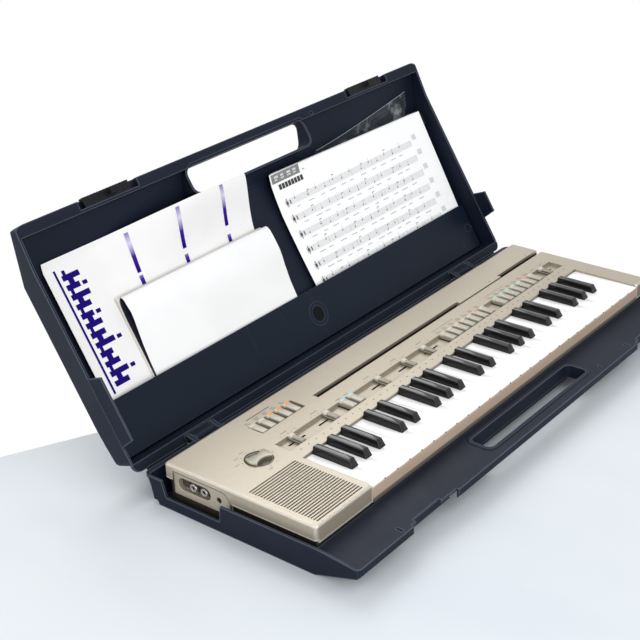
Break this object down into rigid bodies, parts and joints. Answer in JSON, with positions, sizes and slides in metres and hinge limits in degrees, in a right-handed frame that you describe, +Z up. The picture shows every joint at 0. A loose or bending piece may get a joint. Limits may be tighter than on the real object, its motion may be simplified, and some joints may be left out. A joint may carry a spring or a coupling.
{
  "type": "portable mini-key keyboard in carrying case",
  "caption": "Battery keyboard with mini keys, selector knob, sliders and card slot, lying in a dark hinged carrying case whose open lid holds song sheets behind a pocket panel",
  "frame": {"origin": "middle of the case tray's footprint, on the ground plane", "axes": "+X to the player's right along the keys, +Y away from the player towards the hinged lid, +Z up"},
  "size_m": [0.638, 0.3953, 0.247],
  "materials": {
    "case_plastic": "fine textured dark navy moulding",
    "pocket_plastic": "smooth satin dark navy sheet",
    "latch_plastic": "grained charcoal moulding",
    "champagne_plastic": "metallic champagne paint on plastic",
    "slip_plastic": "satin tan moulding",
    "control_plastic": "satin champagne moulding",
    "white_key_plastic": "polished ivory white",
    "black_key_plastic": "polished black",
    "paper": "printed white card and paper"
  },
  "bodies": {
    "base": {"case_tray": "case_plastic", "upper_case": "champagne_plastic", "lower_case": "slip_plastic"},
    "lid": {"case_lid": "case_plastic", "lid_pocket": "pocket_plastic", "song_booklet": "paper", "music_cards": "paper"},
    "latch_left": {"latch_left": "latch_plastic"},
    "latch_right": {"latch_right": "latch_plastic"},
    "selector_knob": {"selector_knob": "control_plastic"},
    "power_switch": {"power_switch": "control_plastic"},
    "slider_1": {"slider_1": "control_plastic"},
    "slider_2": {"slider_2": "control_plastic"},
    "slider_3": {"slider_3": "control_plastic"},
    "slider_4": {"slider_4": "control_plastic"},
    "slider_5": {"slider_5": "control_plastic"},
    "white_key_01": {"white_key_01": "white_key_plastic"},
    "white_key_02": {"white_key_02": "white_key_plastic"},
    "white_key_03": {"white_key_03": "white_key_plastic"},
    "white_key_04": {"white_key_04": "white_key_plastic"},
    "white_key_05": {"white_key_05": "white_key_plastic"},
    "white_key_06": {"white_key_06": "white_key_plastic"},
    "white_key_07": {"white_key_07": "white_key_plastic"},
    "white_key_08": {"white_key_08": "white_key_plastic"},
    "white_key_09": {"white_key_09": "white_key_plastic"},
    "white_key_10": {"white_key_10": "white_key_plastic"},
    "white_key_11": {"white_key_11": "white_key_plastic"},
    "white_key_12": {"white_key_12": "white_key_plastic"},
    "white_key_13": {"white_key_13": "white_key_plastic"},
    "white_key_14": {"white_key_14": "white_key_plastic"},
    "white_key_15": {"white_key_15": "white_key_plastic"},
    "white_key_16": {"white_key_16": "white_key_plastic"},
    "white_key_17": {"white_key_17": "white_key_plastic"},
    "white_key_18": {"white_key_18": "white_key_plastic"},
    "white_key_19": {"white_key_19": "white_key_plastic"},
    "white_key_20": {"white_key_20": "white_key_plastic"},
    "white_key_21": {"white_key_21": "white_key_plastic"},
    "white_key_22": {"white_key_22": "white_key_plastic"},
    "white_key_23": {"white_key_23": "white_key_plastic"},
    "white_key_24": {"white_key_24": "white_key_plastic"},
    "white_key_25": {"white_key_25": "white_key_plastic"},
    "white_key_26": {"white_key_26": "white_key_plastic"},
    "black_key_01": {"black_key_01": "black_key_plastic"},
    "black_key_02": {"black_key_02": "black_key_plastic"},
    "black_key_03": {"black_key_03": "black_key_plastic"},
    "black_key_04": {"black_key_04": "black_key_plastic"},
    "black_key_05": {"black_key_05": "black_key_plastic"},
    "black_key_06": {"black_key_06": "black_key_plastic"},
    "black_key_07": {"black_key_07": "black_key_plastic"},
    "black_key_08": {"black_key_08": "black_key_plastic"},
    "black_key_09": {"black_key_09": "black_key_plastic"},
    "black_key_10": {"black_key_10": "black_key_plastic"},
    "black_key_11": {"black_key_11": "black_key_plastic"},
    "black_key_12": {"black_key_12": "black_key_plastic"},
    "black_key_13": {"black_key_13": "black_key_plastic"},
    "black_key_14": {"black_key_14": "black_key_plastic"},
    "black_key_15": {"black_key_15": "black_key_plastic"},
    "black_key_16": {"black_key_16": "black_key_plastic"},
    "black_key_17": {"black_key_17": "black_key_plastic"},
    "black_key_18": {"black_key_18": "black_key_plastic"}
  },
  "joints": [
    {"name": "lid_hinge", "type": "hinge", "parent": "base", "child": "lid", "pos_m": [0, 0.1315, 0.026], "axis": [1, 0, 0], "range_deg": [0, 121.5]},
    {"name": "latch_left_slide", "type": "slide", "parent": "lid", "child": "latch_left", "axis": [1, 0, 0], "range_m": [-0.007, 0.011]},
    {"name": "latch_right_slide", "type": "slide", "parent": "lid", "child": "latch_right", "axis": [1, 0, 0], "range_m": [-0.007, 0.011]},
    {"name": "selector_turn", "type": "hinge", "parent": "base", "child": "selector_knob", "pos_m": [-0.2556, 0.0376, 0.0413], "axis": [0, 0, 1], "range_deg": [-120, 150]},
    {"name": "slider_1_travel", "type": "slide", "parent": "base", "child": "slider_1", "axis": [1, 0, 0], "range_m": [-0.0088, 0.0112]},
    {"name": "slider_2_travel", "type": "slide", "parent": "base", "child": "slider_2", "axis": [1, 0, 0], "range_m": [-0.0157, 0.0043]},
    {"name": "slider_3_travel", "type": "slide", "parent": "base", "child": "slider_3", "axis": [1, 0, 0], "range_m": [-0.0146, 0.0054]},
    {"name": "slider_4_travel", "type": "slide", "parent": "base", "child": "slider_4", "axis": [1, 0, 0], "range_m": [-0.0144, 0.0056]},
    {"name": "slider_5_travel", "type": "slide", "parent": "base", "child": "slider_5", "axis": [1, 0, 0], "range_m": [-0.0038, 0.0162]},
    {"name": "power_travel", "type": "slide", "parent": "base", "child": "power_switch", "axis": [1, 0, 0], "range_m": [0, 0.013]},
    {"name": "white_key_01_press", "type": "hinge", "parent": "base", "child": "white_key_01", "pos_m": [-0.2209, 0.0165, 0.0347], "axis": [1, 0, 0], "range_deg": [0, 3.4], "stiffness_Nm_per_rad": 1.5},
    {"name": "white_key_02_press", "type": "hinge", "parent": "base", "child": "white_key_02", "pos_m": [-0.2015, 0.0165, 0.0347], "axis": [1, 0, 0], "range_deg": [0, 3.4], "stiffness_Nm_per_rad": 1.5},
    {"name": "white_key_03_press", "type": "hinge", "parent": "base", "child": "white_key_03", "pos_m": [-0.1821, 0.0165, 0.0347], "axis": [1, 0, 0], "range_deg": [0, 3.4], "stiffness_Nm_per_rad": 1.5},
    {"name": "white_key_04_press", "type": "hinge", "parent": "base", "child": "white_key_04", "pos_m": [-0.1627, 0.0165, 0.0347], "axis": [1, 0, 0], "range_deg": [0, 3.4], "stiffness_Nm_per_rad": 1.5},
    {"name": "white_key_05_press", "type": "hinge", "parent": "base", "child": "white_key_05", "pos_m": [-0.1433, 0.0165, 0.0347], "axis": [1, 0, 0], "range_deg": [0, 3.4], "stiffness_Nm_per_rad": 1.5},
    {"name": "white_key_06_press", "type": "hinge", "parent": "base", "child": "white_key_06", "pos_m": [-0.1239, 0.0165, 0.0347], "axis": [1, 0, 0], "range_deg": [0, 3.4], "stiffness_Nm_per_rad": 1.5},
    {"name": "white_key_07_press", "type": "hinge", "parent": "base", "child": "white_key_07", "pos_m": [-0.1045, 0.0165, 0.0347], "axis": [1, 0, 0], "range_deg": [0, 3.4], "stiffness_Nm_per_rad": 1.5},
    {"name": "white_key_08_press", "type": "hinge", "parent": "base", "child": "white_key_08", "pos_m": [-0.0851, 0.0165, 0.0347], "axis": [1, 0, 0], "range_deg": [0, 3.4], "stiffness_Nm_per_rad": 1.5},
    {"name": "white_key_09_press", "type": "hinge", "parent": "base", "child": "white_key_09", "pos_m": [-0.0657, 0.0165, 0.0347], "axis": [1, 0, 0], "range_deg": [0, 3.4], "stiffness_Nm_per_rad": 1.5},
    {"name": "white_key_10_press", "type": "hinge", "parent": "base", "child": "white_key_10", "pos_m": [-0.0463, 0.0165, 0.0347], "axis": [1, 0, 0], "range_deg": [0, 3.4], "stiffness_Nm_per_rad": 1.5},
    {"name": "white_key_11_press", "type": "hinge", "parent": "base", "child": "white_key_11", "pos_m": [-0.0269, 0.0165, 0.0347], "axis": [1, 0, 0], "range_deg": [0, 3.4], "stiffness_Nm_per_rad": 1.5},
    {"name": "white_key_12_press", "type": "hinge", "parent": "base", "child": "white_key_12", "pos_m": [-0.0075, 0.0165, 0.0347], "axis": [1, 0, 0], "range_deg": [0, 3.4], "stiffness_Nm_per_rad": 1.5},
    {"name": "white_key_13_press", "type": "hinge", "parent": "base", "child": "white_key_13", "pos_m": [0.0119, 0.0165, 0.0347], "axis": [1, 0, 0], "range_deg": [0, 3.4], "stiffness_Nm_per_rad": 1.5},
    {"name": "white_key_14_press", "type": "hinge", "parent": "base", "child": "white_key_14", "pos_m": [0.0313, 0.0165, 0.0347], "axis": [1, 0, 0], "range_deg": [0, 3.4], "stiffness_Nm_per_rad": 1.5},
    {"name": "white_key_15_press", "type": "hinge", "parent": "base", "child": "white_key_15", "pos_m": [0.0507, 0.0165, 0.0347], "axis": [1, 0, 0], "range_deg": [0, 3.4], "stiffness_Nm_per_rad": 1.5},
    {"name": "white_key_16_press", "type": "hinge", "parent": "base", "child": "white_key_16", "pos_m": [0.0701, 0.0165, 0.0347], "axis": [1, 0, 0], "range_deg": [0, 3.4], "stiffness_Nm_per_rad": 1.5},
    {"name": "white_key_17_press", "type": "hinge", "parent": "base", "child": "white_key_17", "pos_m": [0.0895, 0.0165, 0.0347], "axis": [1, 0, 0], "range_deg": [0, 3.4], "stiffness_Nm_per_rad": 1.5},
    {"name": "white_key_18_press", "type": "hinge", "parent": "base", "child": "white_key_18", "pos_m": [0.1089, 0.0165, 0.0347], "axis": [1, 0, 0], "range_deg": [0, 3.4], "stiffness_Nm_per_rad": 1.5},
    {"name": "white_key_19_press", "type": "hinge", "parent": "base", "child": "white_key_19", "pos_m": [0.1283, 0.0165, 0.0347], "axis": [1, 0, 0], "range_deg": [0, 3.4], "stiffness_Nm_per_rad": 1.5},
    {"name": "white_key_20_press", "type": "hinge", "parent": "base", "child": "white_key_20", "pos_m": [0.1477, 0.0165, 0.0347], "axis": [1, 0, 0], "range_deg": [0, 3.4], "stiffness_Nm_per_rad": 1.5},
    {"name": "white_key_21_press", "type": "hinge", "parent": "base", "child": "white_key_21", "pos_m": [0.1671, 0.0165, 0.0347], "axis": [1, 0, 0], "range_deg": [0, 3.4], "stiffness_Nm_per_rad": 1.5},
    {"name": "white_key_22_press", "type": "hinge", "parent": "base", "child": "white_key_22", "pos_m": [0.1865, 0.0165, 0.0347], "axis": [1, 0, 0], "range_deg": [0, 3.4], "stiffness_Nm_per_rad": 1.5},
    {"name": "white_key_23_press", "type": "hinge", "parent": "base", "child": "white_key_23", "pos_m": [0.2059, 0.0165, 0.0347], "axis": [1, 0, 0], "range_deg": [0, 3.4], "stiffness_Nm_per_rad": 1.5},
    {"name": "white_key_24_press", "type": "hinge", "parent": "base", "child": "white_key_24", "pos_m": [0.2253, 0.0165, 0.0347], "axis": [1, 0, 0], "range_deg": [0, 3.4], "stiffness_Nm_per_rad": 1.5},
    {"name": "white_key_25_press", "type": "hinge", "parent": "base", "child": "white_key_25", "pos_m": [0.2447, 0.0165, 0.0347], "axis": [1, 0, 0], "range_deg": [0, 3.4], "stiffness_Nm_per_rad": 1.5},
    {"name": "white_key_26_press", "type": "hinge", "parent": "base", "child": "white_key_26", "pos_m": [0.2641, 0.0165, 0.0347], "axis": [1, 0, 0], "range_deg": [0, 3.4], "stiffness_Nm_per_rad": 1.5},
    {"name": "black_key_01_press", "type": "hinge", "parent": "base", "child": "black_key_01", "pos_m": [-0.2128, 0.0165, 0.0347], "axis": [1, 0, 0], "range_deg": [0, 3.4], "stiffness_Nm_per_rad": 1},
    {"name": "black_key_02_press", "type": "hinge", "parent": "base", "child": "black_key_02", "pos_m": [-0.1918, 0.0165, 0.0347], "axis": [1, 0, 0], "range_deg": [0, 3.4], "stiffness_Nm_per_rad": 1},
    {"name": "black_key_03_press", "type": "hinge", "parent": "base", "child": "black_key_03", "pos_m": [-0.1708, 0.0165, 0.0347], "axis": [1, 0, 0], "range_deg": [0, 3.4], "stiffness_Nm_per_rad": 1},
    {"name": "black_key_04_press", "type": "hinge", "parent": "base", "child": "black_key_04", "pos_m": [-0.1349, 0.0165, 0.0347], "axis": [1, 0, 0], "range_deg": [0, 3.4], "stiffness_Nm_per_rad": 1},
    {"name": "black_key_05_press", "type": "hinge", "parent": "base", "child": "black_key_05", "pos_m": [-0.1129, 0.0165, 0.0347], "axis": [1, 0, 0], "range_deg": [0, 3.4], "stiffness_Nm_per_rad": 1},
    {"name": "black_key_06_press", "type": "hinge", "parent": "base", "child": "black_key_06", "pos_m": [-0.077, 0.0165, 0.0347], "axis": [1, 0, 0], "range_deg": [0, 3.4], "stiffness_Nm_per_rad": 1},
    {"name": "black_key_07_press", "type": "hinge", "parent": "base", "child": "black_key_07", "pos_m": [-0.056, 0.0165, 0.0347], "axis": [1, 0, 0], "range_deg": [0, 3.4], "stiffness_Nm_per_rad": 1},
    {"name": "black_key_08_press", "type": "hinge", "parent": "base", "child": "black_key_08", "pos_m": [-0.035, 0.0165, 0.0347], "axis": [1, 0, 0], "range_deg": [0, 3.4], "stiffness_Nm_per_rad": 1},
    {"name": "black_key_09_press", "type": "hinge", "parent": "base", "child": "black_key_09", "pos_m": [0.0009, 0.0165, 0.0347], "axis": [1, 0, 0], "range_deg": [0, 3.4], "stiffness_Nm_per_rad": 1},
    {"name": "black_key_10_press", "type": "hinge", "parent": "base", "child": "black_key_10", "pos_m": [0.0229, 0.0165, 0.0347], "axis": [1, 0, 0], "range_deg": [0, 3.4], "stiffness_Nm_per_rad": 1},
    {"name": "black_key_11_press", "type": "hinge", "parent": "base", "child": "black_key_11", "pos_m": [0.0588, 0.0165, 0.0347], "axis": [1, 0, 0], "range_deg": [0, 3.4], "stiffness_Nm_per_rad": 1},
    {"name": "black_key_12_press", "type": "hinge", "parent": "base", "child": "black_key_12", "pos_m": [0.0798, 0.0165, 0.0347], "axis": [1, 0, 0], "range_deg": [0, 3.4], "stiffness_Nm_per_rad": 1},
    {"name": "black_key_13_press", "type": "hinge", "parent": "base", "child": "black_key_13", "pos_m": [0.1008, 0.0165, 0.0347], "axis": [1, 0, 0], "range_deg": [0, 3.4], "stiffness_Nm_per_rad": 1},
    {"name": "black_key_14_press", "type": "hinge", "parent": "base", "child": "black_key_14", "pos_m": [0.1367, 0.0165, 0.0347], "axis": [1, 0, 0], "range_deg": [0, 3.4], "stiffness_Nm_per_rad": 1},
    {"name": "black_key_15_press", "type": "hinge", "parent": "base", "child": "black_key_15", "pos_m": [0.1587, 0.0165, 0.0347], "axis": [1, 0, 0], "range_deg": [0, 3.4], "stiffness_Nm_per_rad": 1},
    {"name": "black_key_16_press", "type": "hinge", "parent": "base", "child": "black_key_16", "pos_m": [0.1946, 0.0165, 0.0347], "axis": [1, 0, 0], "range_deg": [0, 3.4], "stiffness_Nm_per_rad": 1},
    {"name": "black_key_17_press", "type": "hinge", "parent": "base", "child": "black_key_17", "pos_m": [0.2156, 0.0165, 0.0347], "axis": [1, 0, 0], "range_deg": [0, 3.4], "stiffness_Nm_per_rad": 1},
    {"name": "black_key_18_press", "type": "hinge", "parent": "base", "child": "black_key_18", "pos_m": [0.2366, 0.0165, 0.0347], "axis": [1, 0, 0], "range_deg": [0, 3.4], "stiffness_Nm_per_rad": 1}
  ]
}
